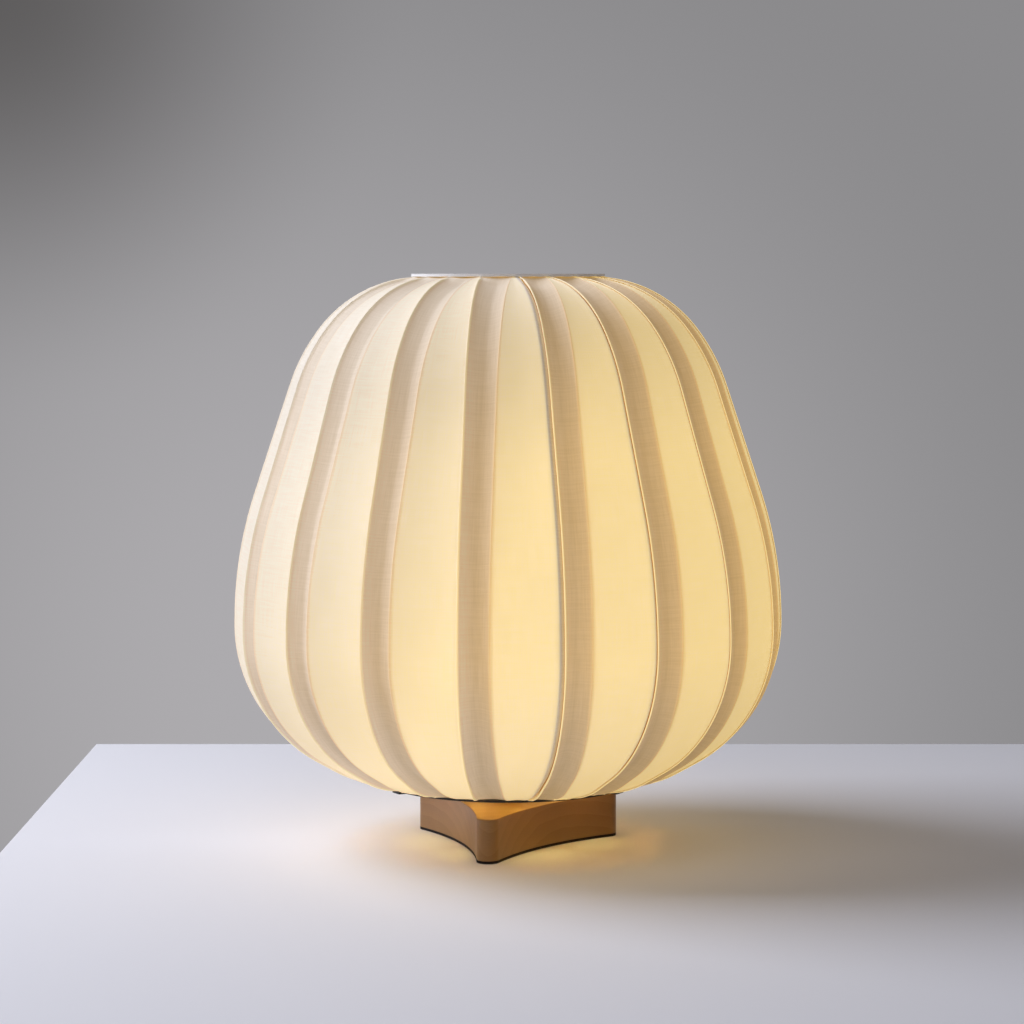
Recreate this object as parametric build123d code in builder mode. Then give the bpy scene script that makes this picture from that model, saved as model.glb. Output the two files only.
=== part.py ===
from build123d import *
import os
from math import cos, radians, sin, sqrt, tan

# A table lamp: a lantern shade of cloth gores over bent bamboo slats, on a small three-pointed
# wooden base. Millimetres, +Z up. The origin is on the table, on the axis of the lamp, and the
# camera side is -Y. Angles are in degrees, counted from +X towards +Y.

# Shade outline: half of the side view, as a chain of tangent arcs through the ridges of the ribs
shade_radius = 200.3          # widest half width
belly_arc_radius = 110.6      # below the widest place
belly_arc_angle = 60.0
belly_straight = 17.3
floor_arc_radius = 82.4       # turns in to the bottom ring
bottom_end_angle = 89.5       # how far under the level the outline faces there
side_arc_radius = 305.0       # above the widest place
side_arc_angle = 18.35
side_straight = 82.5
shoulder_arc_radius = 138.5
shoulder_arc_angle = 20.0
crown_arc_radius = 94.7       # turns in to the top ring
top_end_angle = 87.4          # how far above the level the outline faces there

# Ribs and cloth
rib_count = 18
first_rib_angle = -96.7       # middle of the rib nearest the camera
rib_width = 22.0
valley_depth = 4.5            # of the trough across each rib
valley_offset = 2.0           # the trough lies this far to the right of the middle
right_edge_drop = 0.5         # the right edge of the trough lies lower than the left ridge
slat_thickness = 1.5
cloth_thickness = 1.0
glue_gap = 0.2                # between the cloth and its slat
seam_gap = 0.3                # between one gore's edge and the next gore's ridge

# Rings
ring_seat_gap = 0.3           # between a ring and the ridges that it meets
top_ring_overhang = 4.4       # of a ring beyond the end of the outline
top_ring_width = 6.4
top_ring_thickness = 2.0
bottom_ring_overhang = 4.0
bottom_ring_width = 8.0
bottom_ring_thickness = 1.5
notch_depth = 2.1             # keeps the shade from turning on its carrier
notch_side_gap = 0.4

# Wooden base: rounded points joined by hollow sides
point_count = 3
pad_thickness = 2.0
wood_thickness = 30.0
point_radius = 85.0           # from the axis to the end of a point
point_rounding = 8.3
hollow_side_radius = 214.0
near_point_angle = -100.6
wood_edge_rounding = 0.6
recess_radius = 30.0
recess_depth = 20.0

# Inside the recess
weight_radius = 29.4
weight_bore_radius = 14.0
weight_thickness = 8.0
weight_screw_circle_radius = 21.5
weight_screw_count = 3
screw_radius = 1.75
screw_length = 15.0
screw_head_radius = 3.4
screw_head_angle = 90.0
screw_hole_gap = 0.15
nut_across_flats = 14.0
nut_sides = 6
nut_thickness = 4.0
washer_radius = 10.0
washer_thickness = 1.6
recess_clearance = 1.0        # from the end of the nipple to the face of the nut

# Cord inlet
inlet_height = 8.6
inlet_bore_radius = 2.9
bush_wall = 0.9
bush_rounding = 0.3
bush_flange_radius = 5.0
bush_flange_thickness = 1.5
bush_proud = 1.2

# Stem and carrier
nipple_radius = 4.95
nipple_bore_radius = 3.5
nipple_fit = 0.05
collar_radius = 10.0
collar_height = 12.23         # sets how high the shade stands, its belly at 163.3
carrier_thickness = 1.5
carrier_hub_radius = 17.0
carrier_arm_count = 3
carrier_arm_width = 10.0
first_arm_angle = 90.0
lug_width = 5.0
lug_thickness = 1.5
lug_gap = 0.3                 # between a lug and the ring
lug_rise = 2.0                # above the ring

# Lampholder
holder_radius = 20.0
holder_wall = 2.0
holder_foot_radius = 12.0
holder_dome_height = 13.0
holder_cap_height = 19.0
holder_boss_radius = 8.5
holder_boss_height = 9.0
sleeve_height = 38.0
core_gap = 0.1
core_thickness = 13.0
core_sink = 4.0               # the core reaches this far down into the cap
thread_pitch = 3.62           # the common large screw cap
thread_turns = 6
thread_root_radius = 12.6
thread_depth = 0.6
thread_gap = 0.3
shell_thickness = 0.5
contact_width = 6.0
contact_length = 15.0
contact_thickness = 0.6
contact_rise = 2.4
terminal_screw_radius = 1.9
terminal_screw_length = 6.0
terminal_head_radius = 3.2
terminal_head_height = 2.2
terminal_spacing = 18.0
slot_width = 0.8
slot_depth = 0.8

# Bulb
foot_gap = 0.3                # between the bulb's foot and the contact
foot_radius = 4.8
foot_height = 1.4
insulator_height = 3.2
bulb_shoulder_gap = 0.5       # between the bulb's body and the holder
bulb_body_height = 39.7
bulb_body_radius = 28.0
bulb_wall = 1.6
globe_radius = 30.0
globe_wall = 1.2
led_board_thickness = 1.6
led_board_inset = 1.8

# Worked out from the values above
rib_pitch = 360 / rib_count
half_rib = rib_width / 2
wood_top = pad_thickness + wood_thickness
half_turn = 180 / point_count
floor_arc_angle = bottom_end_angle - belly_arc_angle
crown_arc_angle = top_end_angle - side_arc_angle - shoulder_arc_angle


def polar(radius, angle, height=0):
    """A point at a radius and an angle about the lamp's axis."""
    return (radius * cos(radians(angle)), radius * sin(radians(angle)), height)


def outward(angle):
    """The unit step in the plane of the outline at an angle above the level."""
    return Vector(cos(radians(angle)), 0, sin(radians(angle)))


def save(part, name):
    part.label = name
    export_step(part, f"parts/{name}.step")


os.makedirs("parts", exist_ok=True)

# The stack under the shade: wood, collar, carrier, ring
collar_top = wood_top + collar_height
holder_bottom = collar_top + carrier_thickness
bottom_ring_bottom = holder_bottom + ring_seat_gap
bottom_ring_top = bottom_ring_bottom + bottom_ring_thickness

# Outline of the shade in the plane y = 0, from the bottom ring up to the top ring. Its arcs below
# the widest place give the radius at which it meets the bottom ring.
bottom_end_radius = (
    shade_radius
    - belly_arc_radius * (1 - cos(radians(belly_arc_angle)))
    - belly_straight * sin(radians(belly_arc_angle))
    - floor_arc_radius * (cos(radians(belly_arc_angle)) - cos(radians(bottom_end_angle)))
)
bottom_end = Vector(bottom_end_radius, 0, bottom_ring_top + ring_seat_gap)
bottom_normal = outward(-bottom_end_angle)
bottom_heading = outward(90 - bottom_end_angle)


def outline(inset):
    """The chain of tangent arcs, moved inwards by an inset."""
    start = bottom_end - bottom_normal * inset
    with BuildLine(Plane.XZ) as chain:
        last = JernArc(start, bottom_heading, floor_arc_radius - inset, floor_arc_angle)
        last = Line(last @ 1, last @ 1 + (last % 1) * belly_straight)
        last = JernArc(last @ 1, last % 1, belly_arc_radius - inset, belly_arc_angle)
        last = JernArc(last @ 1, last % 1, side_arc_radius - inset, side_arc_angle)
        last = Line(last @ 1, last @ 1 + (last % 1) * side_straight)
        last = JernArc(last @ 1, last % 1, shoulder_arc_radius - inset, shoulder_arc_angle)
        last = JernArc(last @ 1, last % 1, crown_arc_radius - inset, crown_arc_angle)
    return chain.wire()


ridge_line = outline(0)
section_plane = Plane(origin=ridge_line @ 0, x_dir=(0, -1, 0), z_dir=ridge_line % 0)
top_ring_bottom = (ridge_line @ 1).Z + ring_seat_gap
top_ring_outer_radius = (ridge_line @ 1).X + top_ring_overhang
bottom_ring_outer_radius = bottom_end_radius + bottom_ring_overhang


def trough_arc(sink):
    """The trough across a rib, from its left ridge to its right edge, sunk below the ridges."""
    return ThreePointArc(
        (half_rib, -sink), (-valley_offset, -valley_depth - sink), (-half_rib, -right_edge_drop - sink)
    )


def trough_section(top, bottom):
    """The closed section between two copies of the trough's arc, sunk by top and by bottom."""
    with BuildSketch(section_plane) as section:
        with BuildLine():
            upper = trough_arc(top)
            lower = trough_arc(bottom)
            Line(upper @ 0, lower @ 0)
            Line(upper @ 1, lower @ 1)
        make_face()
    return section.sketch


# Bamboo slat, bent to the outline, hollow on its outer face
slat_top = cloth_thickness + glue_gap
with BuildPart() as rib:
    sweep(sections=trough_section(slat_top, slat_top + slat_thickness), path=ridge_line)

# Cloth gore: glued down over its slat, then taut as far as the next rib's ridge
inner_line = outline(cloth_thickness)
cloth_edges = ridge_line.edges() + inner_line.edges()
cloth_edges += [Line(ridge_line @ 0, inner_line @ 0), Line(ridge_line @ 1, inner_line @ 1)]
cloth_profile = make_face(cloth_edges)
right_edge = Plane(origin=(0, half_rib, 0), z_dir=(0, 1, 0))
next_ridge = Plane(origin=(0, -half_rib - seam_gap, 0), z_dir=(0, -1, 0))
next_ridge = Plane(Rotation(0, 0, rib_pitch) * next_ridge.location)

with BuildPart() as gore:
    revolve(cloth_profile, axis=Axis.Z, revolution_arc=rib_pitch)
    split(bisect_by=right_edge)
    split(bisect_by=next_ridge)
    sweep(sections=trough_section(0, cloth_thickness), path=ridge_line)

for index in range(rib_count):
    turn = Rotation(0, 0, first_rib_angle + index * rib_pitch)
    save(turn * rib.part, f"rib_{index + 1:02}")
    save(turn * gore.part, f"gore_{index + 1:02}")

# Flat ring that lies on the ridges at the top
with BuildPart() as top_ring:
    with BuildSketch(Plane.XY.offset(top_ring_bottom)):
        Circle(top_ring_outer_radius)
        Circle(top_ring_outer_radius - top_ring_width, mode=Mode.SUBTRACT)
    extrude(amount=top_ring_thickness)
save(top_ring.part, "top_ring")

# Flat ring that carries the shade, notched for the lugs of the carrier
bottom_ring_inner_radius = bottom_ring_outer_radius - bottom_ring_width
notch_width = lug_width + 2 * notch_side_gap
with BuildPart() as bottom_ring:
    with BuildSketch(Plane.XY.offset(bottom_ring_bottom)):
        Circle(bottom_ring_outer_radius)
        Circle(bottom_ring_inner_radius, mode=Mode.SUBTRACT)
        with PolarLocations(bottom_ring_inner_radius, carrier_arm_count, first_arm_angle):
            Rectangle(2 * notch_depth, notch_width, mode=Mode.SUBTRACT)
    extrude(amount=bottom_ring_thickness)
save(bottom_ring.part, "bottom_ring")

# Outline of the base: each hollow side is an arc that touches the roundings of two points.
# The distance from the axis to the centre of a side's arc follows from that touch.
rounding_centre_radius = point_radius - point_rounding
half_chord = rounding_centre_radius * sin(radians(half_turn))
side_centre_radius = rounding_centre_radius * cos(radians(half_turn)) + sqrt(
    (hollow_side_radius + point_rounding) ** 2 - half_chord**2
)


def touch_point(point_angle, side_angle):
    """Where the rounding of a point meets the arc of a hollow side."""
    rounding_centre = Vector(*polar(rounding_centre_radius, point_angle))
    side_centre = Vector(*polar(side_centre_radius, side_angle))
    return rounding_centre + (side_centre - rounding_centre).normalized() * point_rounding


def base_outline(height):
    """The three-pointed face of the base at a height."""
    with BuildSketch(Plane.XY.offset(height)) as face:
        with BuildLine():
            for point_index in range(point_count):
                point_angle = near_point_angle + 2 * half_turn * point_index
                side_angle = point_angle + half_turn
                before = touch_point(point_angle, point_angle - half_turn)
                after = touch_point(point_angle, side_angle)
                beyond = touch_point(side_angle + half_turn, side_angle)
                ThreePointArc(before, polar(point_radius, point_angle), after)
                ThreePointArc(after, polar(side_centre_radius - hollow_side_radius, side_angle), beyond)
        make_face()
    return face.sketch


with BuildPart() as base_pad:
    extrude(base_outline(0), amount=pad_thickness)
save(base_pad.part, "base_pad")

# Wood block with a round recess below, a bore for the nipple and a bore for the cord
recess_top = pad_thickness + recess_depth
inlet_angle = near_point_angle + 180
inlet_direction = Vector(*polar(1, inlet_angle))
inlet_wall_start = sqrt(recess_radius**2 - bush_flange_radius**2)
inlet_wall_end = side_centre_radius - hollow_side_radius
bush_radius = inlet_bore_radius + bush_wall
weight_bottom = recess_top - weight_thickness


def inlet_plane(distance):
    """A plane across the cord inlet, this far from the axis of the lamp."""
    origin = inlet_direction * distance + Vector(0, 0, inlet_height)
    return Plane(origin=origin, x_dir=(0, 0, 1), z_dir=inlet_direction)


with BuildPart() as wood_base:
    extrude(base_outline(pad_thickness), amount=wood_thickness)
    fillet(wood_base.edges().group_by(Axis.Z)[-1], wood_edge_rounding)
    with BuildSketch(Plane.XY.offset(pad_thickness)):
        Circle(recess_radius)
    extrude(amount=recess_depth, mode=Mode.SUBTRACT)
    with BuildSketch(Plane.XY.offset(recess_top)):
        Circle(nipple_radius + nipple_fit)
    extrude(amount=wood_top - recess_top, mode=Mode.SUBTRACT)
    with BuildSketch(Plane.XY.offset(weight_bottom)):
        with PolarLocations(weight_screw_circle_radius, weight_screw_count, near_point_angle + half_turn):
            Circle(screw_radius + screw_hole_gap)
    extrude(amount=screw_length + screw_hole_gap, mode=Mode.SUBTRACT)
    with BuildSketch(inlet_plane(weight_bore_radius)):
        Circle(bush_radius + nipple_fit)
    extrude(amount=inlet_wall_end, mode=Mode.SUBTRACT)
save(wood_base.part, "wood_base")

# Bush for the cord, with its flange inside the recess
flange_start = inlet_wall_start - bush_flange_thickness
bush_length = inlet_wall_end + bush_proud - flange_start
with BuildPart() as cord_bush:
    with BuildSketch(inlet_plane(flange_start)):
        Circle(bush_flange_radius)
    extrude(amount=bush_flange_thickness)
    with BuildSketch(inlet_plane(flange_start)):
        Circle(bush_radius)
    extrude(amount=bush_length)
    with BuildSketch(inlet_plane(flange_start)):
        Circle(inlet_bore_radius)
    extrude(amount=bush_length, mode=Mode.SUBTRACT)
    rims = cord_bush.edges().filter_by(GeomType.CIRCLE).sort_by(Axis((0, 0, 0), inlet_direction))
    fillet(rims.filter_by(lambda edge: edge.radius > inlet_bore_radius)[-1], bush_rounding)
save(cord_bush.part, "cord_bush")

# Steel weight in the recess, held by countersunk screws
with BuildPart() as base_weight:
    with BuildSketch(Plane.XY.offset(weight_bottom)):
        Circle(weight_radius)
        Circle(weight_bore_radius, mode=Mode.SUBTRACT)
    extrude(amount=weight_thickness)
    with Locations(Plane.XY.offset(weight_bottom).rotated((180, 0, 0))):
        with PolarLocations(weight_screw_circle_radius, weight_screw_count, -near_point_angle - half_turn):
            CounterSinkHole(
                screw_radius + screw_hole_gap,
                screw_head_radius + screw_hole_gap,
                weight_thickness,
                screw_head_angle,
            )
save(base_weight.part, "base_weight")

head_half_angle = screw_head_angle / 2
head_slope_height = (screw_head_radius - screw_radius) / tan(radians(head_half_angle))
with BuildPart() as weight_screws:
    for index in range(weight_screw_count):
        angle = near_point_angle + half_turn + index * 360 / weight_screw_count
        foot = Plane(origin=polar(weight_screw_circle_radius, angle, weight_bottom))
        with BuildSketch(foot):
            Circle(screw_radius)
        extrude(amount=screw_length)
        with BuildSketch(foot):
            Circle(screw_head_radius)
        extrude(amount=head_slope_height, taper=head_half_angle)
save(weight_screws.part, "weight_screws")

# Threaded nipple, its washer and its nut below, and the collar above
nut_top = recess_top - washer_thickness
nipple_bottom = nut_top - nut_thickness - recess_clearance
nipple_top = holder_bottom + holder_boss_height
nipple_hole_radius = nipple_radius + nipple_fit

with BuildPart() as nipple:
    with BuildSketch(Plane.XY.offset(nipple_bottom)):
        Circle(nipple_radius)
        Circle(nipple_bore_radius, mode=Mode.SUBTRACT)
    extrude(amount=nipple_top - nipple_bottom)
save(nipple.part, "nipple")

with BuildPart() as nipple_washer:
    with BuildSketch(Plane.XY.offset(nut_top)):
        Circle(washer_radius)
        Circle(nipple_hole_radius, mode=Mode.SUBTRACT)
    extrude(amount=washer_thickness)
save(nipple_washer.part, "nipple_washer")

with BuildPart() as nipple_nut:
    with BuildSketch(Plane.XY.offset(nut_top - nut_thickness)):
        RegularPolygon(nut_across_flats / 2, nut_sides, major_radius=False)
        Circle(nipple_hole_radius, mode=Mode.SUBTRACT)
    extrude(amount=nut_thickness)
save(nipple_nut.part, "nipple_nut")

with BuildPart() as stem_collar:
    with BuildSketch(Plane.XY.offset(wood_top)):
        Circle(collar_radius)
        Circle(nipple_hole_radius, mode=Mode.SUBTRACT)
    extrude(amount=collar_top - wood_top)
save(stem_collar.part, "stem_collar")

# Pressed steel carrier: a hub with three arms under the bottom ring, and a lug on each arm
lug_outer_radius = bottom_ring_inner_radius + notch_depth - lug_gap
lug_middle_radius = lug_outer_radius - lug_thickness / 2
arm_middle_radius = bottom_ring_outer_radius / 2
with BuildPart() as shade_carrier:
    with BuildSketch(Plane.XY.offset(collar_top)):
        Circle(carrier_hub_radius)
        with PolarLocations(arm_middle_radius, carrier_arm_count, first_arm_angle):
            Rectangle(bottom_ring_outer_radius, carrier_arm_width)
        Circle(nipple_hole_radius, mode=Mode.SUBTRACT)
    extrude(amount=carrier_thickness)
    with BuildSketch(Plane.XY.offset(holder_bottom)):
        with PolarLocations(lug_middle_radius, carrier_arm_count, first_arm_angle):
            Rectangle(lug_thickness, lug_width)
    extrude(amount=ring_seat_gap + bottom_ring_thickness + lug_rise)
save(shade_carrier.part, "shade_carrier")

# Lampholder: a cap screwed on the nipple, a sleeve, and the core with its contacts between them
cap_top = holder_bottom + holder_cap_height
dome_top = holder_bottom + holder_dome_height
sleeve_top = cap_top + sleeve_height
holder_bore_radius = holder_radius - holder_wall
core_bottom = cap_top - core_sink
core_top = core_bottom + core_thickness
shell_bottom = core_top
contact_top = core_top + contact_rise

with BuildPart() as holder_cap:
    with BuildSketch(Plane.XZ):
        with BuildLine():
            Polyline(
                (nipple_hole_radius, nipple_top),
                (nipple_hole_radius, holder_bottom),
                (holder_foot_radius, holder_bottom),
            )
            EllipticalCenterArc(
                (holder_foot_radius, dome_top),
                holder_radius - holder_foot_radius,
                holder_dome_height,
                start_angle=270,
                arc_size=90,
            )
            Polyline(
                (holder_radius, dome_top),
                (holder_radius, cap_top),
                (holder_bore_radius, cap_top),
                (holder_bore_radius, dome_top),
                (holder_foot_radius, holder_bottom + holder_wall),
                (holder_boss_radius, holder_bottom + holder_wall),
                (holder_boss_radius, nipple_top),
                (nipple_hole_radius, nipple_top),
            )
        make_face()
    revolve(axis=Axis.Z)
save(holder_cap.part, "holder_cap")

with BuildPart() as holder_sleeve:
    with BuildSketch(Plane.XY.offset(cap_top)):
        Circle(holder_radius)
        Circle(holder_bore_radius, mode=Mode.SUBTRACT)
    extrude(amount=sleeve_height)
save(holder_sleeve.part, "holder_sleeve")

with BuildPart() as holder_core:
    with BuildSketch(Plane.XY.offset(core_bottom)):
        Circle(holder_bore_radius - core_gap)
        with GridLocations(terminal_spacing, terminal_spacing, 2, 1):
            Circle(terminal_screw_radius + nipple_fit, mode=Mode.SUBTRACT)
    extrude(amount=core_thickness)
save(holder_core.part, "holder_core")


def thread_outline(radius):
    """The rounded thread of the screw cap, one bulge for each turn, from the bottom up."""
    for turn_index in range(thread_turns):
        low = shell_bottom + cap_rise + turn_index * thread_pitch
        crest = (radius + thread_depth, low + thread_pitch / 2)
        ThreePointArc((radius, low), crest, (radius, low + thread_pitch))


# The foot of the bulb stands just above the contact, and its cap follows from that
foot_bottom = contact_top + foot_gap
insulator_bottom = foot_bottom + foot_height
cap_bottom = insulator_bottom + insulator_height
cap_rise = cap_bottom - shell_bottom
thread_length = thread_turns * thread_pitch
thread_top = cap_bottom + thread_length
shell_radius = thread_root_radius + thread_gap

with BuildPart() as screw_shell:
    with BuildSketch(Plane.XZ):
        with BuildLine():
            thread_outline(shell_radius)
            thread_outline(shell_radius + shell_thickness)
            Line((shell_radius, thread_top), (shell_radius + shell_thickness, thread_top))
            Polyline(
                (shell_radius, cap_bottom),
                (shell_radius, shell_bottom),
                (shell_radius + shell_thickness, shell_bottom),
                (shell_radius + shell_thickness, cap_bottom),
            )
        make_face()
    revolve(axis=Axis.Z)
save(screw_shell.part, "screw_shell")

# Springy leaf under the foot of the bulb, bent up from the core
with BuildPart() as contact_leaf:
    with BuildSketch(Plane.XZ.offset(-contact_width / 2)):
        with BuildLine():
            Polyline(
                (-contact_length / 2, core_top),
                (0, core_top),
                (contact_length / 2, contact_top - contact_thickness),
                (contact_length / 2, contact_top),
                (0, core_top + contact_thickness),
                (-contact_length / 2, core_top + contact_thickness),
                close=True,
            )
        make_face()
    extrude(amount=contact_width)
save(contact_leaf.part, "contact_leaf")

with BuildPart() as terminal_screws:
    for side in (-1, 1):
        head_plane = Plane(origin=(side * terminal_spacing / 2, 0, core_bottom - terminal_head_height))
        with BuildSketch(head_plane.offset(terminal_head_height)):
            Circle(terminal_screw_radius)
        extrude(amount=terminal_screw_length)
        with BuildSketch(head_plane):
            Circle(terminal_head_radius)
        extrude(amount=terminal_head_height)
        with BuildSketch(head_plane):
            Rectangle(2 * terminal_head_radius, slot_width)
        extrude(amount=slot_depth, mode=Mode.SUBTRACT)
save(terminal_screws.part, "terminal_screws")

# Bulb: contact foot in its insulator, screw cap, body, light board and globe
body_bottom = sleeve_top + bulb_shoulder_gap
body_top = body_bottom + bulb_body_height
globe_centre_height = body_top + sqrt(globe_radius**2 - bulb_body_radius**2)
globe_top = globe_centre_height + globe_radius
cap_rim_radius = thread_root_radius + thread_depth

with BuildPart() as bulb_foot:
    with BuildSketch(Plane.XY.offset(foot_bottom)):
        Circle(foot_radius)
    extrude(amount=foot_height)
    with BuildSketch(Plane.XY.offset(insulator_bottom)):
        Circle(foot_radius)
    with BuildSketch(Plane.XY.offset(cap_bottom)):
        Circle(thread_root_radius - shell_thickness)
    loft()
save(bulb_foot.part, "bulb_foot")

with BuildPart() as bulb_cap:
    with BuildSketch(Plane.XZ):
        with BuildLine():
            thread_outline(thread_root_radius)
            Polyline(
                (thread_root_radius, thread_top),
                (cap_rim_radius, body_bottom),
                (thread_root_radius - shell_thickness, body_bottom),
                (thread_root_radius - shell_thickness, cap_bottom),
                (thread_root_radius, cap_bottom),
            )
        make_face()
    revolve(axis=Axis.Z)
save(bulb_cap.part, "bulb_cap")

with BuildPart() as bulb_body:
    with BuildSketch(Plane.XZ):
        with BuildLine():
            Polyline(
                (0, body_bottom),
                (cap_rim_radius, body_bottom),
                (bulb_body_radius, body_top),
                (bulb_body_radius - bulb_wall, body_top),
                (cap_rim_radius - bulb_wall, body_bottom + bulb_wall),
                (0, body_bottom + bulb_wall),
                close=True,
            )
        make_face()
    revolve(axis=Axis.Z)
save(bulb_body.part, "bulb_body")

with BuildPart() as led_board:
    with BuildSketch(Plane.XY.offset(body_top)):
        Circle(bulb_body_radius - led_board_inset)
    extrude(amount=led_board_thickness)
save(led_board.part, "led_board")

with BuildPart() as bulb_globe:
    with Locations((0, 0, globe_centre_height)):
        Sphere(globe_radius)
        Sphere(globe_radius - globe_wall, mode=Mode.SUBTRACT)
    split(bisect_by=Plane.XY.offset(body_top))
save(bulb_globe.part, "bulb_globe")

print("base top", wood_top, "collar top", round(collar_top, 2), "sleeve top", round(sleeve_top, 2))
print("thread", round(cap_bottom, 2), round(thread_top, 2), "globe top", round(globe_top, 2))
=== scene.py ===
import math

import bpy
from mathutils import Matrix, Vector, noise


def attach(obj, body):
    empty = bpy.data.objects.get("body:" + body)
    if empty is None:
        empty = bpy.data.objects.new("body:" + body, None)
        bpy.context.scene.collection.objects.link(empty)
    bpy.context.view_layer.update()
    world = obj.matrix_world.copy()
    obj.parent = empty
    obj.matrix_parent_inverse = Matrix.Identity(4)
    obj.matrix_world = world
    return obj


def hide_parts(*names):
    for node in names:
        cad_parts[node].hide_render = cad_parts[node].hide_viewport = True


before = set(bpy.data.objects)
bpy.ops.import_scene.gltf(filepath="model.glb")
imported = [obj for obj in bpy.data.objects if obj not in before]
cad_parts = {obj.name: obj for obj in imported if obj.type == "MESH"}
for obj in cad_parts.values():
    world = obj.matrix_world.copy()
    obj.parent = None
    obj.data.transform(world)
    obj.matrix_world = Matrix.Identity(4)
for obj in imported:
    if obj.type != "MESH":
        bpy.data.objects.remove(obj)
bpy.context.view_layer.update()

# A lit table lamp: cloth gores over bent bamboo slats, on a three-pointed block of cherry wood.
# The camera looks along +Y. Dictionaries hold millimetres, and mm turns them to metres.
mm = 0.001


# An sRGB hex colour as linear red, green, blue and alpha
def linear(hexColour):
    parts = [int(hexColour[i : i + 2], 16) / 255 for i in (1, 3, 5)]
    return [c / 12.92 if c <= 0.04045 else ((c + 0.055) / 1.055) ** 2.4 for c in parts] + [1.0]


# Adds one node: inputs are values or sockets, by name or number, and the rest are its settings
def addNode(tree, kind, inputs=None, **settings):
    node = tree.nodes.new(kind)
    for name, value in settings.items():
        setattr(node, name, value)
    for key, value in (inputs or {}).items():
        if isinstance(value, bpy.types.NodeSocket):
            tree.links.new(value, node.inputs[key])
        else:
            node.inputs[key].default_value = value
    return node


def newMaterial(name):
    material = bpy.data.materials.new(name)
    material.use_nodes = True
    tree = material.node_tree
    tree.nodes.clear()
    output = tree.nodes.new("ShaderNodeOutputMaterial")
    return material, tree, output


def principled(tree, output, inputs):
    shader = addNode(tree, "ShaderNodeBsdfPrincipled", inputs)
    tree.links.new(shader.outputs["BSDF"], output.inputs["Surface"])


# The nodes below give back their output socket
def objectPlace(tree):
    return addNode(tree, "ShaderNodeTexCoord").outputs["Object"]


def heightOf(tree, vector):
    return addNode(tree, "ShaderNodeSeparateXYZ", {0: vector}).outputs["Z"]


def attribute(tree, name):
    return addNode(tree, "ShaderNodeAttribute", attribute_name=name).outputs["Fac"]


def calculate(tree, operation, *values):
    return addNode(tree, "ShaderNodeMath", dict(enumerate(values)), operation=operation).outputs[0]


# Maps a value from one (low, high) range to another
def remap(tree, value, source=(0.0, 1.0), target=(0.0, 1.0), **settings):
    return addNode(tree, "ShaderNodeMapRange", {
        "Value": value, "From Min": source[0], "From Max": source[1],
        "To Min": target[0], "To Max": target[1]}, **settings).outputs[0]


def stretched(tree, vector, sizes):
    return addNode(tree, "ShaderNodeMapping", {
        "Vector": vector, "Scale": [1 / size for size in sizes]}).outputs[0]


def noiseOn(tree, vector, scale, detail, output="Fac"):
    return addNode(tree, "ShaderNodeTexNoise", {
        "Vector": vector, "Scale": scale, "Detail": detail}).outputs[output]


def mixColours(tree, factor, first, second, **settings):
    return addNode(tree, "ShaderNodeMix", {
        "Factor": factor, 6: first, 7: second}, data_type="RGBA", **settings).outputs[2]


def bumpFrom(tree, height, distanceMm, strength):
    return addNode(tree, "ShaderNodeBump", {
        "Height": height, "Distance": distanceMm * mm, "Strength": strength}).outputs[0]


# Colour from a ramp of (place, hex) stops
def ramp(tree, factor, stops):
    node = addNode(tree, "ShaderNodeValToRGB", {"Fac": factor})
    elements = node.color_ramp.elements
    while len(elements) < len(stops):
        elements.new(0.5)
    for element, (place, hexColour) in zip(elements, stops):
        element.position = place
        element.color = linear(hexColour)
    return node.outputs["Color"]


def deselectAll():
    if bpy.context.object and bpy.context.object.mode != "OBJECT":
        bpy.ops.object.mode_set(mode="OBJECT")
    bpy.ops.object.select_all(action="DESELECT")


def useOnly(piece):
    deselectAll()
    piece.select_set(True)
    bpy.context.view_layer.objects.active = piece


def applyAll(piece):
    useOnly(piece)
    for modifier in list(piece.modifiers):
        bpy.ops.object.modifier_apply(modifier=modifier.name)


# Puts a piece's place into its mesh, smooths it, gives it its material and its body
def finishPiece(piece, name, material, body, replaces, smoothDegrees):
    useOnly(piece)
    bpy.ops.object.transform_apply(location=True, rotation=True, scale=True)
    bpy.ops.object.shade_smooth_by_angle(angle=math.radians(smoothDegrees))
    piece.name = name
    piece.data.name = name
    piece.data.materials.clear()
    piece.data.materials.append(material)
    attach(piece, body)
    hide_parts(*replaces)


# Materials

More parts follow.
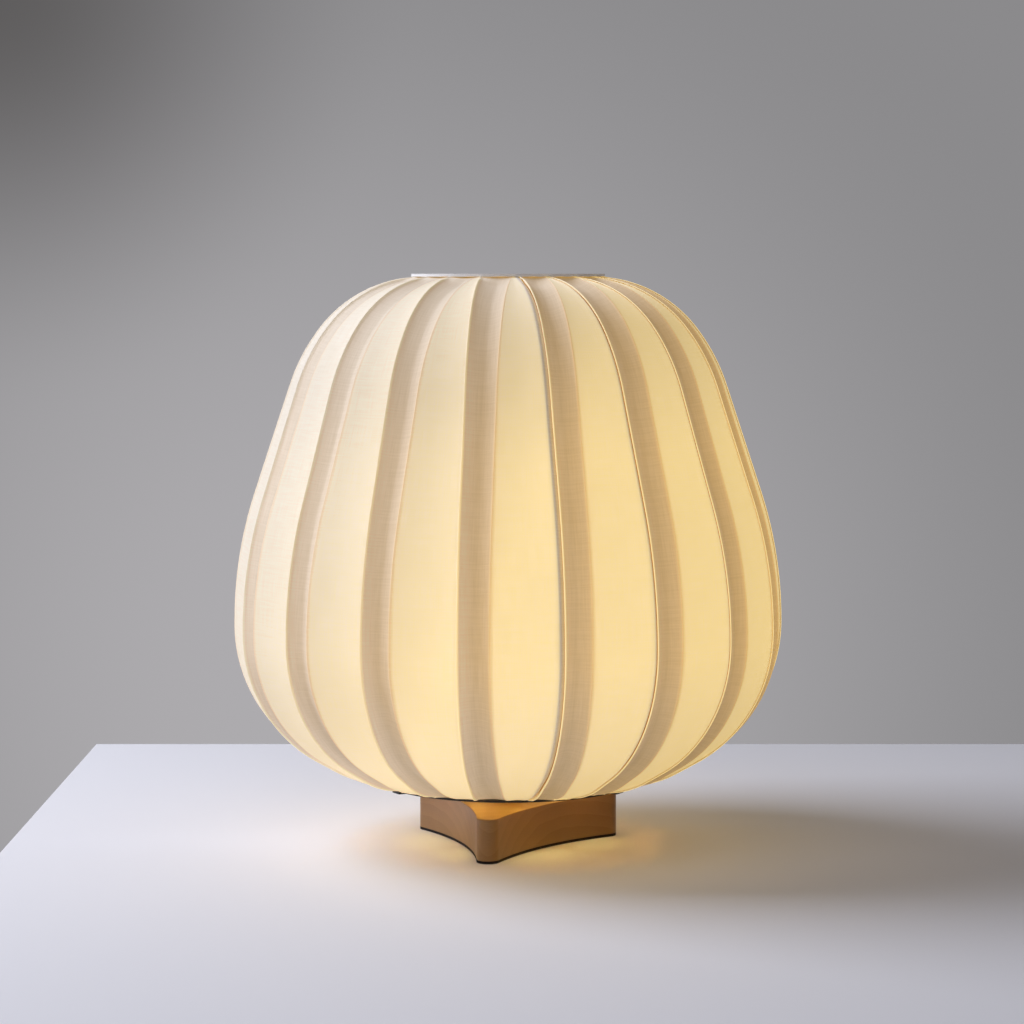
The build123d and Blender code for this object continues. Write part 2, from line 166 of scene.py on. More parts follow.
# Slubbed cotton: matt, with uneven threads both ways. The lamp's light in it is an emission, which
# falls off above and below the bulb and is painted dimmer towards the window. Each gore's
# attributes say how much of it a place gets (glow), how warm it is (warmth), and how much painted
# shade darkens the cloth in the troughs over the slats.
def clothMaterial():
    cotton = {
        "thread": "#F1E9DC",
        "threadShadow": "#E6DDCD",
        "threadMm": 1.1,        # drawn about twice as coarse as the real thread, so that it shows
        "slubMm": 26.0,
        "threadDetail": 2.0,
        "weaveRange": (0.6, 1.4),       # of the two noises' sum, from thin to thick threads
        "weaveStops": (0.15, 0.8),
        "threadLight": (0.945, 1.035),  # share of the light in thin and in thick threads
        "paleLight": "#FFD974",
        "warmLight": "#FFC659",
        "lightStrength": 0.71,
        "brightHeightMm": 225.0,
        "evenMm": 70.0,         # the glow is even this far above and below the bright height
        "farMm": 190.0,
        "farGlow": 0.68,
        "daySide": (-0.9, 0.0, 0.43),   # towards the window, whose light whitens the cloth there
        "dayReachMm": 200.0,
        "dayGlow": 0.14,        # the share of the lamp's light that still shows on that side
        "bandDayShare": 0.45,   # how much the glued bands are spared from losing it
        "paintedBandShade": 0.38,      # painted shade: how much darker the cloth is made in the troughs over the slats
        "bandDayHold": 0.55,    # the share of that painted shade which is left on the window's side
        "bumpMm": 0.08,
        "bumpStrength": 0.6,
        "roughness": 0.88,
        "sheen": 0.25,
        "sheenRoughness": 0.5,
    }
    material, tree, output = newMaterial("slubbedCottonLit")
    uv = addNode(tree, "ShaderNodeUVMap", uv_map="clothUv").outputs["UV"]
    thread, slub = cotton["threadMm"] * mm, cotton["slubMm"] * mm
    warp = noiseOn(tree, stretched(tree, uv, (thread, slub, 1)), 1.0, cotton["threadDetail"])
    weft = noiseOn(tree, stretched(tree, uv, (slub, thread, 1)), 1.0, cotton["threadDetail"])
    weave = remap(tree, calculate(tree, "ADD", warp, weft), cotton["weaveRange"])
    shadowStop, threadStop = cotton["weaveStops"]
    threads = ramp(tree, weave, [
        (shadowStop, cotton["threadShadow"]), (threadStop, cotton["thread"])])

    fromBright = addNode(tree, "ShaderNodeVectorMath", {
        0: objectPlace(tree), 1: (0, 0, cotton["brightHeightMm"] * mm)},
        operation="SUBTRACT").outputs[0]
    distance = calculate(tree, "ABSOLUTE", heightOf(tree, fromBright))
    heightGlow = remap(tree, distance, (cotton["evenMm"] * mm, cotton["farMm"] * mm),
                       (1.0, cotton["farGlow"]))
    # Painted light: the lamp's glow is made weaker on the window's side, so that together with the
    # window's light the cloth there does not wash out
    towardsDay = addNode(tree, "ShaderNodeVectorMath", {
        0: fromBright, 1: cotton["daySide"]}, operation="DOT_PRODUCT").outputs["Value"]
    dayFall = remap(tree, towardsDay, (0.0, cotton["dayReachMm"] * mm), (1.0, cotton["dayGlow"]))
    warmth = attribute(tree, "warmth")
    spared = calculate(tree, "MULTIPLY", warmth, cotton["bandDayShare"])
    dayShare = addNode(tree, "ShaderNodeMix", {"Factor": spared, 2: dayFall, 3: 1.0}).outputs[0]
    strength = attribute(tree, "glow")
    for share in (heightGlow, dayShare, remap(tree, weave, target=cotton["threadLight"])):
        strength = calculate(tree, "MULTIPLY", strength, share)
    light = mixColours(tree, warmth, linear(cotton["paleLight"]), linear(cotton["warmLight"]))
    shine = mixColours(tree, strength, (0, 0, 0, 1), light)

    # Painted shade: the troughs' cloth is made darker over its slats, less so on the window's side
    hold = remap(tree, dayFall, (cotton["dayGlow"], 1.0), (cotton["bandDayHold"], 1.0))
    paintedTroughShade = calculate(tree, "MULTIPLY", attribute(tree, "glued"), hold)
    tone = remap(tree, paintedTroughShade, target=(1.0, 1 - cotton["paintedBandShade"]))
    shadedThreads = addNode(tree, "ShaderNodeVectorMath", {0: threads, "Scale": tone}, operation="SCALE")
    principled(tree, output, {
        "Base Color": shadedThreads.outputs[0], "Roughness": cotton["roughness"],
        "Sheen Weight": cotton["sheen"], "Sheen Roughness": cotton["sheenRoughness"],
        "Normal": bumpFrom(tree, weave, cotton["bumpMm"], cotton["bumpStrength"]),
        "Emission Color": shine, "Emission Strength": cotton["lightStrength"]})
    return material


# Oiled cherry: pale face grain on the top, and darker growth rings as arcs on the sides. The top's
# colours also hold painted light from the lamp above it, and the sides' colours hold painted shade.
def cherryMaterial():
    cherry = {
        "stops": (0.2, 0.42, 0.8),
        # The sides' colours are end grain with painted shade, and the top's are face grain with
        # painted lamp light
        "side": ("#A47B48", "#926B39", "#6F4E27"),
        "top": ("#D0AE76", "#C29D63", "#A78249"),
        "topNormals": (0.5, 0.8),       # from the sides to the top, by how far the face looks up
        "ringShare": 0.1,
        "poreShare": 0.3,
        "blotchShare": 0.3,
        "ringMm": 9.0,
        "ringTurnDegrees": (0.0, 14.0, -8.0),
        "ringCentreMm": (0.0, 22.0, -64.0),
        "ringDistortion": 1.2,
        "ringDetail": 2.0,
        "ringDetailScale": 1.5,
        "waverMm": (6.0, 6.0, 6.0),
        "waverScale": 18.0,
        "blotchScale": 22.0,
        "blotchDetail": 2.0,
        "poreMm": 0.35,
        "poreLengthMm": 9.0,
        "fineDetail": 3.0,
        "bumpMm": 0.06,
        "bumpStrength": 0.5,
        "roughness": 0.42,
        "oil": 0.08,
        "oilRoughness": 0.35,
    }
    material, tree, output = newMaterial("oiledCherry")
    place = objectPlace(tree)
    turned = addNode(tree, "ShaderNodeMapping", {
        "Vector": place, "Location": [c * mm for c in cherry["ringCentreMm"]],
        "Rotation": [math.radians(a) for a in cherry["ringTurnDegrees"]]},
        vector_type="TEXTURE").outputs[0]
    waver = addNode(tree, "ShaderNodeVectorMath", {
        0: noiseOn(tree, turned, cherry["waverScale"], cherry["fineDetail"], "Color"),
        1: [c * mm for c in cherry["waverMm"]]}, operation="MULTIPLY").outputs[0]
    moved = addNode(tree, "ShaderNodeVectorMath", {0: turned, 1: waver}, operation="ADD")
    rings = addNode(tree, "ShaderNodeTexWave", {
        "Vector": moved.outputs[0], "Scale": math.pi / (10 * cherry["ringMm"] * mm),
        "Distortion": cherry["ringDistortion"], "Detail": cherry["ringDetail"],
        "Detail Scale": cherry["ringDetailScale"]},
        wave_type="RINGS", rings_direction="X", wave_profile="SAW").outputs["Fac"]
    pore, poreLength = cherry["poreMm"] * mm, cherry["poreLengthMm"] * mm
    pores = noiseOn(tree, stretched(tree, place, (poreLength, pore, pore)), 1.0,
                    cherry["fineDetail"])
    blotches = noiseOn(tree, place, cherry["blotchScale"], cherry["blotchDetail"])
    tone = calculate(tree, "MULTIPLY", rings, cherry["ringShare"])
    tone = calculate(tree, "MULTIPLY_ADD", pores, cherry["poreShare"], tone)
    tone = calculate(tree, "MULTIPLY_ADD", blotches, cherry["blotchShare"], tone)
    # Sides: darker end grain with painted shade; top: paler face grain with painted light from the
    # lamp
    endGrainAndShadeSide = ramp(tree, tone, list(zip(cherry["stops"], cherry["side"])))
    faceGrainAndLampLitTop = ramp(tree, tone, list(zip(cherry["stops"], cherry["top"])))
    normal = addNode(tree, "ShaderNodeNewGeometry").outputs["Normal"]
    isTop = remap(tree, heightOf(tree, normal), cherry["topNormals"])
    principled(tree, output, {
        "Base Color": mixColours(tree, isTop, endGrainAndShadeSide, faceGrainAndLampLitTop),
        "Roughness": cherry["roughness"], "Coat Weight": cherry["oil"],
        "Coat Roughness": cherry["oilRoughness"],
        "Normal": bumpFrom(tree, pores, cherry["bumpMm"], cherry["bumpStrength"])})
    return material


# Split bamboo, scraped smooth: pale straw with fibres along the slat and darker growth nodes.
# It glows a little, because the bulb's light falls on it and passes between its fibres.
def bambooMaterial():
    bamboo = {
        "fibre": "#D8B878",
        "shade": "#B98F4E",
        "stops": (0.3, 0.7),
        "fibreMm": 0.8,
        "fibreLengthMm": 40.0,
        "fibreDetail": 2.0,
        "node": "#8A6430",
        "nodeSpacingMm": 150.0,
        "nodeMm": 3.0,
        "glow": "#E8B266",
        "glowStrength": 0.12,
        "bumpMm": 0.1,
        "bumpStrength": 0.5,
        "roughness": 0.5,
    }
    material, tree, output = newMaterial("scrapedBamboo")
    place = objectPlace(tree)
    fibre, fibreLength = bamboo["fibreMm"] * mm, bamboo["fibreLengthMm"] * mm
    fibres = noiseOn(tree, stretched(tree, place, (fibre, fibre, fibreLength)), 1.0,
                     bamboo["fibreDetail"])
    wave = calculate(tree, "PINGPONG", heightOf(tree, place), bamboo["nodeSpacingMm"] * mm)
    knot = remap(tree, wave, (0.0, bamboo["nodeMm"] * mm), (1.0, 0.0))
    body = ramp(tree, fibres, list(zip(bamboo["stops"], (bamboo["shade"], bamboo["fibre"]))))
    principled(tree, output, {
        "Base Color": mixColours(tree, knot, body, linear(bamboo["node"])),
        "Roughness": bamboo["roughness"],
        "Normal": bumpFrom(tree, fibres, bamboo["bumpMm"], bamboo["bumpStrength"]),
        "Emission Color": linear(bamboo["glow"]), "Emission Strength": bamboo["glowStrength"]})
    return material


grain = {"detail": 3.0, "stops": (0.3, 0.7), "bumpStrength": 0.6}


# One matt or glossy surface with a fine grain of its own, for paint, plastic, felt and metal
def plainMaterial(name, dark, light, roughness, grainMm, bumpMm, metallic=0.0, **extra):
    material, tree, output = newMaterial(name)
    spots = noiseOn(tree, objectPlace(tree), 1 / (grainMm * mm), grain["detail"])
    inputs = {
        "Base Color": ramp(tree, spots, list(zip(grain["stops"], (dark, light)))),
        "Roughness": roughness, "Metallic": metallic,
        "Normal": bumpFrom(tree, spots, bumpMm, grain["bumpStrength"])}
    inputs.update(extra)
    principled(tree, output, inputs)
    return material


cloth = clothMaterial()
cherry = cherryMaterial()
bamboo = bambooMaterial()
blackSteel = plainMaterial("powderCoatedSteel", "#0B0A0A", "#161414", 0.45, 0.8, 0.03)
whiteRing = plainMaterial("lacqueredSteelWhite", "#F0F0F1", "#FAFAFA", 0.4, 1.5, 0.02)
feltPad = plainMaterial("needledFelt", "#0C0806", "#1C1410", 0.95, 0.7, 0.3)
rubber = plainMaterial("mouldedRubber", "#101010", "#1B1B1B", 0.7, 0.5, 0.03)
thermoset = plainMaterial("mouldedThermoset", "#141312", "#201E1C", 0.38, 0.6, 0.02)
zinc = plainMaterial("zincPlatedSteel", "#8F8F8C", "#B4B3AE", 0.35, 0.9, 0.02, metallic=1.0)
bareSteel = plainMaterial("rolledSteel", "#5A5A5A", "#77767A", 0.5, 1.4, 0.04, metallic=1.0)
brass = plainMaterial("bareBrass", "#A67C3A", "#C49A55", 0.32, 1.0, 0.02, metallic=1.0)
nickel = plainMaterial("nickelPlatedBrass", "#A9A69F", "#C4C1BA", 0.28, 0.9, 0.02, metallic=1.0)
glazed = plainMaterial("glazedCeramic", "#D9D4CA", "#E9E4DA", 0.2, 2.0, 0.02)
bulbShell = plainMaterial("glossyThermoplastic", "#E4E2DC", "#F0EEE8", 0.25, 1.2, 0.01)
boardPaint = plainMaterial("whiteSolderMask", "#DAD8D0", "#EDEBE4", 0.4, 1.0, 0.01)
opal = plainMaterial("opalDiffuser", "#FFF3DC", "#FFF8EA", 0.35, 1.5, 0.01,
                     **{"Emission Color": linear("#FFD9A0"), "Emission Strength": 3.0})
print("stage: materials made")

nodeMaterials = {
    "wood_base": cherry, "base_pad": feltPad, "base_weight": bareSteel, "weight_screws": zinc,
    "cord_bush": rubber, "nipple": zinc, "nipple_washer": zinc, "nipple_nut": zinc,
    "stem_collar": blackSteel, "shade_carrier": blackSteel, "holder_cap": thermoset,
    "holder_sleeve": thermoset, "holder_core": glazed, "screw_shell": brass,
    "contact_leaf": brass, "terminal_screws": brass, "bulb_cap": nickel, "bulb_foot": thermoset,
    "bulb_body": bulbShell, "led_board": boardPaint, "bulb_globe": opal, "top_ring": whiteRing,
    "bottom_ring": blackSteel,
}
for nodeName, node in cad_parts.items():
    chosen = nodeMaterials.get(nodeName, bamboo if nodeName.startswith("rib_") else cloth)
    node.data.materials.clear()
    node.data.materials.append(chosen)


# The shade's outline: tangent arcs and straights from the bottom ring up to the top ring
shade = {
    "ribCount": 18,
    "firstRibDegrees": -96.7,
    "bellyRadius": 200.3,
    "bellyHeight": 163.3,
    "floorArc": (82.4, 29.5),       # radius and angle in degrees, as in the other arcs
    "lowerStraight": 17.3,
    "bellyArc": (110.6, 60.0),
    "sideArc": (305.0, 18.35),
    "upperStraight": 82.5,
    "shoulderArc": (138.5, 20.0),
    "crownArc": (94.7, 49.05),
}


# The outline as stretches of (first point, its normal's angle, radius or 0, length), moved so
# that the end of the belly's arc lies at the belly
def outlineStretches():
    chain = [shade["floorArc"], shade["lowerStraight"], shade["bellyArc"], shade["sideArc"],
             shade["upperStraight"], shade["shoulderArc"], shade["crownArc"]]
    point = Vector((0, 0))
    angle = -math.radians(shade["floorArc"][1] + shade["bellyArc"][1])
    found = []
    belly = None
    for part in chain:
        if isinstance(part, tuple):
            radius, turn = part[0], math.radians(part[1])
            found.append((point, angle, radius, radius * turn))
            centre = point - radius * Vector((math.cos(angle), math.sin(angle)))
            angle += turn
            point = centre + radius * Vector((math.cos(angle), math.sin(angle)))
            if part == shade["bellyArc"]:
                belly = point
        else:
            found.append((point, angle, 0, part))
            point = point + part * Vector((-math.sin(angle), math.cos(angle)))
    shift = Vector((shade["bellyRadius"], shade["bellyHeight"])) - belly
    return [(first + shift, turn, radius, length) for first, turn, radius, length in found]


stretches = outlineStretches()
outlineLength = sum(length for _, _, _, length in stretches)


# The outline's point (radius and height, in mm) and normal at a share of its length from below
def outlineAt(share):
    left = share * outlineLength
    number = 0
    while number < len(stretches) - 1 and left > stretches[number][3]:
        left -= stretches[number][3]
        number += 1
    first, angle, radius, _ = stretches[number]
    if radius:
        centre = first - radius * Vector((math.cos(angle), math.sin(angle)))
        angle += left / radius
        point = centre + radius * Vector((math.cos(angle), math.sin(angle)))
    else:
        point = first + left * Vector((-math.sin(angle), math.cos(angle)))
    return point, Vector((math.cos(angle), math.sin(angle)))


# A cloth gore: its folded edge, the trough glued into its slat, and the taut panel as far as
# the next slat. Across the shade, s runs to the right from the middle of the slat and n outwards.
# Places are (s, n).
gore = {
    "halfRib": 11.0,
    "valleyDepth": 4.5,
    "valleyOffset": 2.0,
    "rightDrop": 0.5,
    "valleySharpness": 0.35,        # from a round trough to a creased one
    "foldUnder": [(-10.4, -0.66), (-10.7, -0.6), (-10.95, -0.5), (-11.3, -0.3)],
    "foldUnderGlow": 0.1,
    "foldTop": [(-11.4, 0.0), (-11.25, 0.24), (-10.9, 0.3), (-10.4, 0.12)],
    "foldTopGlow": 1.1,
    "foldToTrough": 0.9,
    "foldShift": {1: 3.3, 2: 1.0, 12: 1.6},     # these folds were glued further over their slats
    "troughSteps": 16,
    "bandGlow": (0.55, 0.09, 0.05), # of the trough: its middle, tilt and rise to its edges
    "edgeGlow": (9.5, 1.5, 0.2),    # from this s on, over so many mm, so much is added
    "lowBandGlow": 0.68,            # the share of that glow near the bottom
    "lowBandShare": (0.12, 0.25),   # where on the outline it starts to grow, and over how much
    "ridgeShadeShare": 0.1,              # the share of the trough's painted shade at the ridge; all of it from its valley on
    "panelSteps": 14,
    "panelEdge": (0.06, 0.08, 0.5), # beside the slat: share of the panel, glow lost, warmth
    "panelLast": (0.985, 0.8),      # the last column before the fold: share of the panel, glow
    "panelEnd": (-11.3, -0.8),      # against the next slat, under its fold
    "panelSag": 0.9,
    "overlap": 0.5,
    "overlapDepth": 0.85,           # of the overlap below the next trough
    "overlapBend": 0.25,            # share of the overlap where it is down there
    "overlapGlow": (0.4, 0.15, 0.0),
    "fadeShare": (0.045, 0.035),    # the troughs run out over this share of the length, per end
    "endDepth": 0.06,               # the share of their depth that is left there
    "hemRadius": 94.3,              # the hem turns down just outside the bottom ring
    "hemFall": (1.0, 0.9, 0.45, 0.1),   # of each of its rows, from its edge up
    "hemDrop": 1.3,
    "hemWave": 1.0,
    "hemWaves": 4,
    "hemRise": (-95.0, 26.0, 1.3),  # it rides up round this angle, up to so far off, by so much
    "hemRiseEase": 1.5,
    "crownLift": 0.35,              # the last row is drawn up against the top ring
    "crownRows": 2,
    "ridgeWander": 0.35,
    "wanderWaves": (5, 7.3),        # along the ridge, and from one gore to the next
    "wrinkle": 0.16,
    "wrinkleWaves": (2.2, 7, 3.1),  # across and along the panel, and from one gore to the next
    "rows": 150,
    "thickness": 0.45,
    "smoothDegrees": 28,
    "uvStep": 0.31,                 # in metres, so that no two gores show the same threads
    "flat": (0.088, 0.492),         # the cut, in metres: pitch at the belly, trough and turned
                                    # edge, by the outline's length with the hem
    "flatShare": 0.86,              # the cut tapers to both ends
}


def smoothStep(value):
    value = min(1.0, max(0.0, value))
    return value * value * (3 - 2 * value)


# Height n of the trough at s: between the circle through its ridge, valley and right edge, and
# the two straights that join them
def troughHeight(s):
    ridge = Vector((-gore["halfRib"], 0))
    valley = Vector((gore["valleyOffset"], -gore["valleyDepth"]))
    edge = Vector((gore["halfRib"], -gore["rightDrop"]))
    corners = ((ridge, valley, edge), (valley, edge, ridge), (edge, ridge, valley))
    area = 2 * sum(a.x * (b.y - c.y) for a, b, c in corners)
    centre = Vector((sum(a.length_squared * (b.y - c.y) for a, b, c in corners),
                     sum(a.length_squared * (c.x - b.x) for a, b, c in corners))) / area
    rounded = centre.y - math.sqrt((ridge - centre).length ** 2 - (s - centre.x) ** 2)
    near, far = (ridge, valley) if s < valley.x else (valley, edge)
    creased = near.y + (far.y - near.y) * (s - near.x) / (far.x - near.x)
    return rounded + (creased - rounded) * gore["valleySharpness"]


# One column of the trough, as the columns below
def troughColumn(s):
    middle, tilt, rise = gore["bandGlow"]
    dip = (s - gore["valleyOffset"]) / gore["halfRib"]
    first, width, most = gore["edgeGlow"]
    glow = middle + tilt * dip + rise * dip**2 + most * max(0.0, (s - first) / width) ** 2
    # Painted shade in the trough: weak at its ridge, full from its valley to its right edge
    hold = smoothStep((s + gore["halfRib"]) / (gore["halfRib"] + gore["valleyOffset"]))
    glued = gore["ridgeShadeShare"] + (1 - gore["ridgeShadeShare"]) * hold
    return "trough", s, troughHeight(s), glow, 1.0, glued


# Columns across a gore: (kind, s or share of the panel, n, glow, warmth, painted shade)
def goreColumns(shift, nextShift):
    columns = []
    for place, glow in (("foldUnder", "foldUnderGlow"), ("foldTop", "foldTopGlow")):
        columns += [("rib", s + shift, n, gore[glow], 0.0, 0.0) for s, n in gore[place]]
    start = gore["foldTop"][-1][0] + shift + gore["foldToTrough"]
    for step in range(gore["troughSteps"] + 1):
        columns.append(troughColumn(start + (gore["halfRib"] - start) * step / gore["troughSteps"]))
    reach, glowLost, warmth = gore["panelEdge"]
    for step in range(1, gore["panelSteps"] + 1):
        share = step / (gore["panelSteps"] + 1)
        edge = math.exp(-share / reach)
        columns.append(("panel", share, 0.0, 1.0 - glowLost * edge, warmth * edge, 0.0))
    share, glow = gore["panelLast"]
    columns.append(("panel", share, 0.0, glow, 0.0, 0.0))
    s, n = gore["panelEnd"]
    over = gore["overlap"] + nextShift
    ridge = -gore["halfRib"]
    bend = troughHeight(ridge) - gore["overlapDepth"]
    end = troughHeight(max(ridge, s + over)) - gore["overlapDepth"]
    hidden = ((s, n), (s + gore["overlapBend"] * over, bend), (s + over, end))
    for (s, n), glow in zip(hidden, gore["overlapGlow"]):
        columns.append(("next", s, n, glow, 0.0, 0.0))
    return columns


# How much of its depth the trough keeps near the ends of the shade
def endDepth(share):
    low, high = gore["fadeShare"]
    fade = smoothStep(min(share / low, (1 - share) / high))
    return gore["endDepth"] + (1 - gore["endDepth"]) * fade


def bandGlowShare(share):
    start, width = gore["lowBandShare"]
    return gore["lowBandGlow"] + (1 - gore["lowBandGlow"]) * smoothStep((share - start) / width)


# The point at s and n on a slat, in metres; a half index lies between two slats
def ribPoint(index, share, s, n):
    angle = math.radians(shade["firstRibDegrees"] + index * 360 / shade["ribCount"])
    point, normal = outlineAt(share)
    outward = Vector((math.cos(angle), math.sin(angle), 0))
    right = Vector((-math.sin(angle), math.cos(angle), 0))
    upwards = Vector((0, 0, point.y + n * normal.y))
    return (outward * (point.x + n * normal.x) + right * s + upwards) * mm


# How far a ridge lies off its line
def ridgeWander(index, share):
    along, between = gore["wanderWaves"]
    seed = Vector((share * along, index % shade["ribCount"] * between, 0))
    return gore["ridgeWander"] * noise.noise(seed)


# A row's share of the outline: all the rows of the hem stand at its foot
def rowShare(row):
    hemShare = (gore["hemRadius"] - outlineAt(0)[0].x) / outlineLength
    hemRows = len(gore["hemFall"])
    return hemShare + (1 - hemShare) * max(0, row - hemRows) / (gore["rows"] - hemRows)


# How far the hem hangs down at a place, in mm
def hemFallAt(row, place):
    if row >= len(gore["hemFall"]):
        return 0.0
    wave = noise.noise(Vector((place.x, place.y, 0)).normalized() * gore["hemWaves"])
    middle, reach, height = gore["hemRise"]
    off = abs(math.degrees(math.atan2(place.y, place.x)) - middle)
    rise = height * smoothStep(gore["hemRiseEase"] * (1 - off / reach))
    return gore["hemFall"][row] * (gore["hemDrop"] + gore["hemWave"] * wave - rise)


# Where the columns of one row of a gore lie, in metres
def rowPlaces(index, row, columns):
    share = rowShare(row)
    depth = endDepth(share)
    wander, nextWander = ridgeWander(index, share), ridgeWander(index + 1, share)
    panelStart = ribPoint(index, share, gore["halfRib"], -gore["rightDrop"] * depth)
    s, n = gore["panelEnd"]
    panelEnd = ribPoint(index + 1, share, s + nextWander, n * depth)
    outwards = ribPoint(index + 0.5, share, 0, 1) - ribPoint(index + 0.5, share, 0, 0)
    across, along, between = gore["wrinkleWaves"]
    crown = (row - gore["rows"] + gore["crownRows"]) / gore["crownRows"]
    lift = gore["crownLift"] * smoothStep(crown)
    places = []
    for kind, s, n, *_ in columns:
        if kind == "rib":
            place = ribPoint(index, share, s + wander, n * depth)
        elif kind == "trough":
            place = ribPoint(index, share, s, n * depth)
        elif kind == "panel":
            sag = gore["panelSag"] * math.sin(math.pi * s) * math.sin(math.pi * share) ** 0.5
            seed = Vector((s * across + index * between, share * along, index))
            ripple = gore["wrinkle"] * noise.noise(seed)
            place = panelStart.lerp(panelEnd, s) + outwards * (ripple - sag)
        else:
            place = ribPoint(index + 1, share, s + nextWander, n * depth)
        place.z += (lift - hemFallAt(row, place)) * mm
        places.append(place)
    return places


def makeGore(index):
    shifts = gore["foldShift"]
    columns = goreColumns(shifts.get(index, 0.0), shifts.get((index + 1) % shade["ribCount"], 0.0))
    across, rows = len(columns) - 1, gore["rows"]
    deselectAll()
    bpy.ops.mesh.primitive_grid_add(x_subdivisions=across, y_subdivisions=rows, size=1)
    piece = bpy.context.object
    mesh = piece.data
    seats = [(round((vertex.co.x + 0.5) * across), round((vertex.co.y + 0.5) * rows))
             for vertex in mesh.vertices]
    places = [rowPlaces(index, row, columns) for row in range(rows + 1)]
    shares = [bandGlowShare(rowShare(row)) for row in range(rows + 1)]
    values = {"glow": [], "warmth": [], "glued": []}
    for vertex, (column, row) in zip(mesh.vertices, seats):
        vertex.co = places[row][column]
        kind, _, _, glow, warmth, glued = columns[column]
        values["glow"].append(glow * (shares[row] if kind == "trough" else 1))
        values["warmth"].append(warmth)
        values["glued"].append(glued)
    for name, numbers in values.items():
        mesh.attributes.new(name, "FLOAT", "POINT").data.foreach_set("value", numbers)
    middleRow = places[rows // 2]
    widths = [0.0]
    for before, place in zip(middleRow, middleRow[1:]):
        widths.append(widths[-1] + (place - before).length)
    layer = mesh.uv_layers.new(name="clothUv")
    for loop in mesh.loops:
        column, row = seats[loop.vertex_index]
        along = row / rows * outlineLength * mm
        layer.data[loop.index].uv = (widths[column] + index * gore["uvStep"], along)
    solid = piece.modifiers.new("clothThickness", "SOLIDIFY")
    solid.thickness = gore["thickness"] * mm
    solid.offset = -1
    applyAll(piece)
    number = f"{index + 1:02}"
    finishPiece(piece, f"clothGore_{number}", cloth, "shade", [f"gore_{number}"],
                gore["smoothDegrees"])


for goreIndex in range(shade["ribCount"]):
    makeGore(goreIndex)
print("stage: cloth gores made")


# Table, wall, light and camera, after the photograph
studio = {
    "lensMm": 100.9,
    "cameraPlaceMm": (2.9, -2095.0, 416.5),
    "pitchDegrees": 4.70,
    "tableMm": (-368.0, 3000.0, -2600.0, 442.0),      # left, right, front and back edges
    "table": "#E9E8EB",
    "tableRoughness": 0.75,
    "wallDistanceMm": 3000.0,
    "wallSizeMm": (12000.0, 6000.0),
    "wallMiddleMm": 500.0,              # height of the middle of the wall
    "wallGlowMm": (-300.0, -290.0),     # the brightest place of the wall, across and up
    "wallGlowReachMm": (150.0, 1500.0),
    "wall": "#ADABAE",
    "wallFar": "#8B8A8C",
    "wallCornerMm": (-905.0, 912.0),    # painted shade in a corner, across and up
    "wallCornerReachMm": (0.0, 750.0),
    "wallCorner": "#B0AEAC",            # painted shade there, which multiplies the wall's colour
    "wallClear": "#FFFFFF",
    "room": "#606064",
}


def makePlane(name, material, scale, place, turn=(0, 0, 0)):
    deselectAll()
    bpy.ops.mesh.primitive_plane_add(size=1, location=place, rotation=turn)
    plane = bpy.context.object
    plane.name = name
    plane.scale = (scale[0], scale[1], 1)
    plane.data.materials.append(material)


# From 0 at a place on the wall to 1 beyond its reach
def wallFade(tree, place, centre, reach):
    across, up = centre
    centre = (across * mm, studio["wallDistanceMm"] * mm, up * mm)
    distance = addNode(tree, "ShaderNodeVectorMath", {0: place, 1: centre}, operation="DISTANCE")
    return remap(tree, distance.outputs["Value"], [edge * mm for edge in reach],
                 interpolation_type="SMOOTHSTEP")


def makeStage():
    left, right, front, back = [edge * mm for edge in studio["tableMm"]]
    material, tree, output = newMaterial("paleTable")
    principled(tree, output, {
        "Base Color": linear(studio["table"]), "Roughness": studio["tableRoughness"]})
    makePlane("studioTable", material, (right - left, back - front),
              ((left + right) / 2, (front + back) / 2, 0))

    material, tree, output = newMaterial("paintedLightGreyWall")
    place = addNode(tree, "ShaderNodeNewGeometry").outputs["Position"]
    # Painted light: the wall is an emission, brightest round one place and with painted shade in a
    # corner
    fromGlow = wallFade(tree, place, studio["wallGlowMm"], studio["wallGlowReachMm"])
    fromCorner = wallFade(tree, place, studio["wallCornerMm"], studio["wallCornerReachMm"])
    glow = ramp(tree, fromGlow, [(0.0, studio["wall"]), (1.0, studio["wallFar"])])
    paintedCornerShade = ramp(tree, fromCorner, [(0.0, studio["wallCorner"]), (1.0, studio["wallClear"])])
    emission = addNode(tree, "ShaderNodeEmission", {
        "Color": mixColours(tree, 1.0, glow, paintedCornerShade, blend_type="MULTIPLY"), "Strength": 1.0})
    tree.links.new(emission.outputs[0], output.inputs["Surface"])
    makePlane("studioWall", material, [side * mm for side in studio["wallSizeMm"]],
              (0, studio["wallDistanceMm"] * mm, studio["wallMiddleMm"] * mm),
              (math.radians(90), 0, 0))

    world = bpy.data.worlds.new("studioWorld")
    bpy.context.scene.world = world
    world.use_nodes = True
    sky = world.node_tree.nodes["Background"]
    sky.inputs["Color"].default_value = linear(studio["room"])
    sky.inputs["Strength"].default_value = 1.0


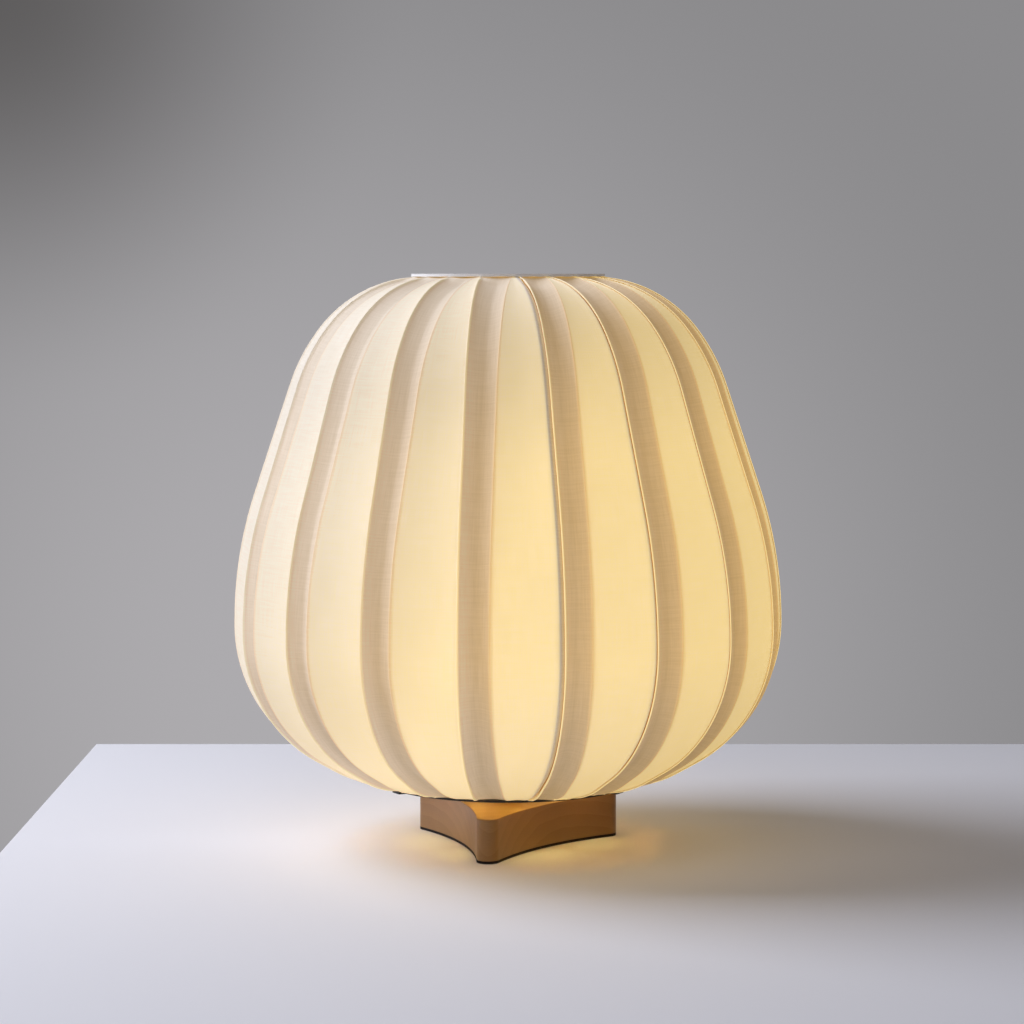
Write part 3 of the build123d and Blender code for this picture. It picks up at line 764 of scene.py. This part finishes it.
# Day from a window at the upper left and low across the table, a weak room, and the lamp: the
# bulb itself, and the light that the shade throws down on the base
lights = {
    "windowLeft": {"kind": "AREA", "place": (-1520, 330, 1500), "target": (0, 0, 150),
                   "watts": 44.0, "colour": "#EEF2FF", "size": 1400},
    "windowLow": {"kind": "SPOT", "place": (-1150, 0, 170), "target": (0, 0, 20),
                  "watts": 25.0, "colour": "#D2DFFF", "size": 50, "coneDegrees": 5.5},
    "roomFront": {"kind": "AREA", "place": (-500, -1350, 1300), "target": (0, 0, 150),
                  "watts": 4.2, "colour": "#FAF8FF", "size": 1200},
    "bulbLight": {"kind": "POINT", "place": (0, 0, 153), "target": (0, 0, 0),
                  "watts": 7.0, "colour": "#FFC765", "size": 31},
    "shadeInside": {"kind": "SPOT", "place": (0, 0, 300), "target": (0, 0, 0),
                    "watts": 2.5, "colour": "#FFF4A0", "size": 40, "coneDegrees": 25},
}
spotBlend = 0.5


def makeLight(name, facts):
    data = bpy.data.lights.new(name, facts["kind"])
    data.energy = facts["watts"]
    data.color = linear(facts["colour"])[:3]
    if facts["kind"] == "AREA":
        data.size = facts["size"] * mm
    else:
        data.shadow_soft_size = facts["size"] * mm
    if facts["kind"] == "SPOT":
        data.spot_size = math.radians(facts["coneDegrees"])
        data.spot_blend = spotBlend
    light = bpy.data.objects.new(name, data)
    bpy.context.scene.collection.objects.link(light)
    place, target = Vector(facts["place"]) * mm, Vector(facts["target"]) * mm
    light.location = place
    light.rotation_euler = (target - place).to_track_quat("-Z", "Y").to_euler()


def makeCamera():
    data = bpy.data.cameras.new("photoCamera")
    data.lens = studio["lensMm"]
    camera = bpy.data.objects.new("photoCamera", data)
    bpy.context.scene.collection.objects.link(camera)
    camera.location = [c * mm for c in studio["cameraPlaceMm"]]
    camera.rotation_euler = (math.radians(90 - studio["pitchDegrees"]), 0, 0)
    bpy.context.scene.camera = camera


makeStage()
for lightName, lightFacts in lights.items():
    makeLight(lightName, lightFacts)
makeCamera()
bpy.context.scene.view_settings.view_transform = "Standard"
print("stage: table, lights and camera made")
